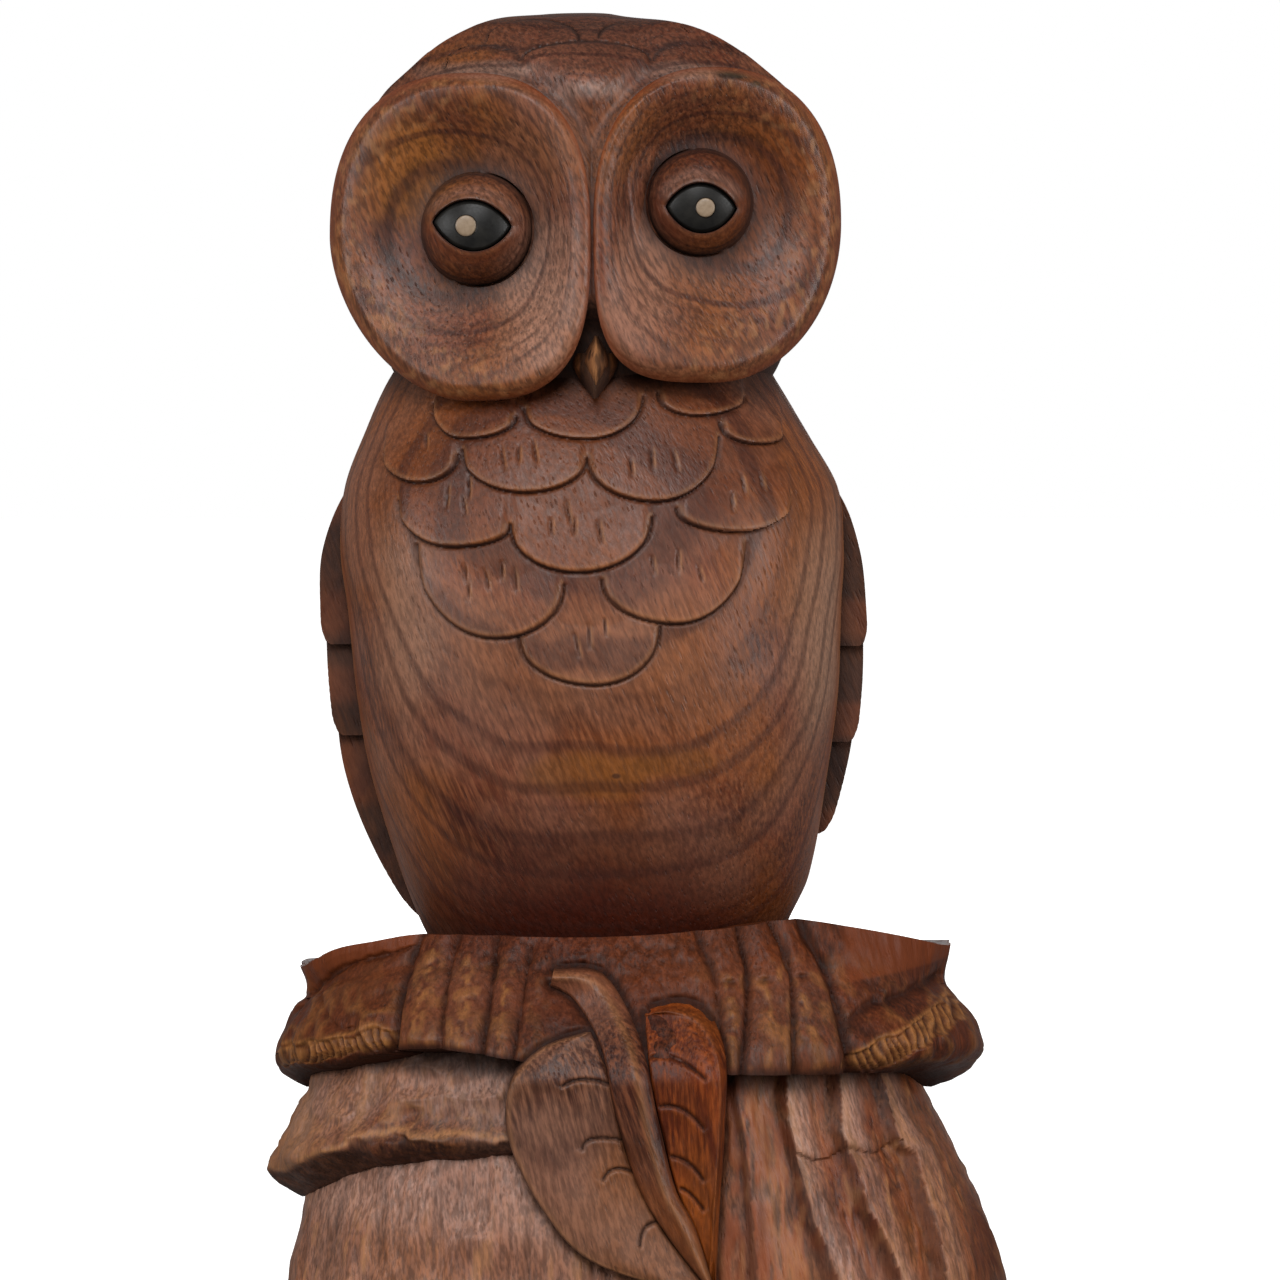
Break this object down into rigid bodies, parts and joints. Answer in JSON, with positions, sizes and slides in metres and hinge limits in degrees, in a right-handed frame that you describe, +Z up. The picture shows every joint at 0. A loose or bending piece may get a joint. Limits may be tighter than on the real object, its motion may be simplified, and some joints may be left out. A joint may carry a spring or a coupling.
{
  "type": "carved wooden owl",
  "caption": "Wooden owl carved with its bark stump and leaf from one block, with inlaid almond eyes; it stands on the stump's flat underside.",
  "frame": {"origin": "middle of the stump's flat underside, under the middle of the part's outline", "axes": "+Z up, the owl looks along -Y, +X is to the right of someone who looks at its face"},
  "size_m": [0.226, 0.1793, 0.43],
  "materials": {
    "carved_wood": "reddish brown hardwood with a soft satin sheen, growth rings and open pores",
    "eye_black": "polished black inlay, its material guessed as dark wood",
    "eye_pin": "pale tan pin, rubbed smooth"
  },
  "bodies": {
    "root": {"owl_carving": "carved_wood", "left_eye_inlay": "eye_black", "right_eye_inlay": "eye_black", "left_eye_pin": "eye_pin", "right_eye_pin": "eye_pin"}
  },
  "joints": []
}
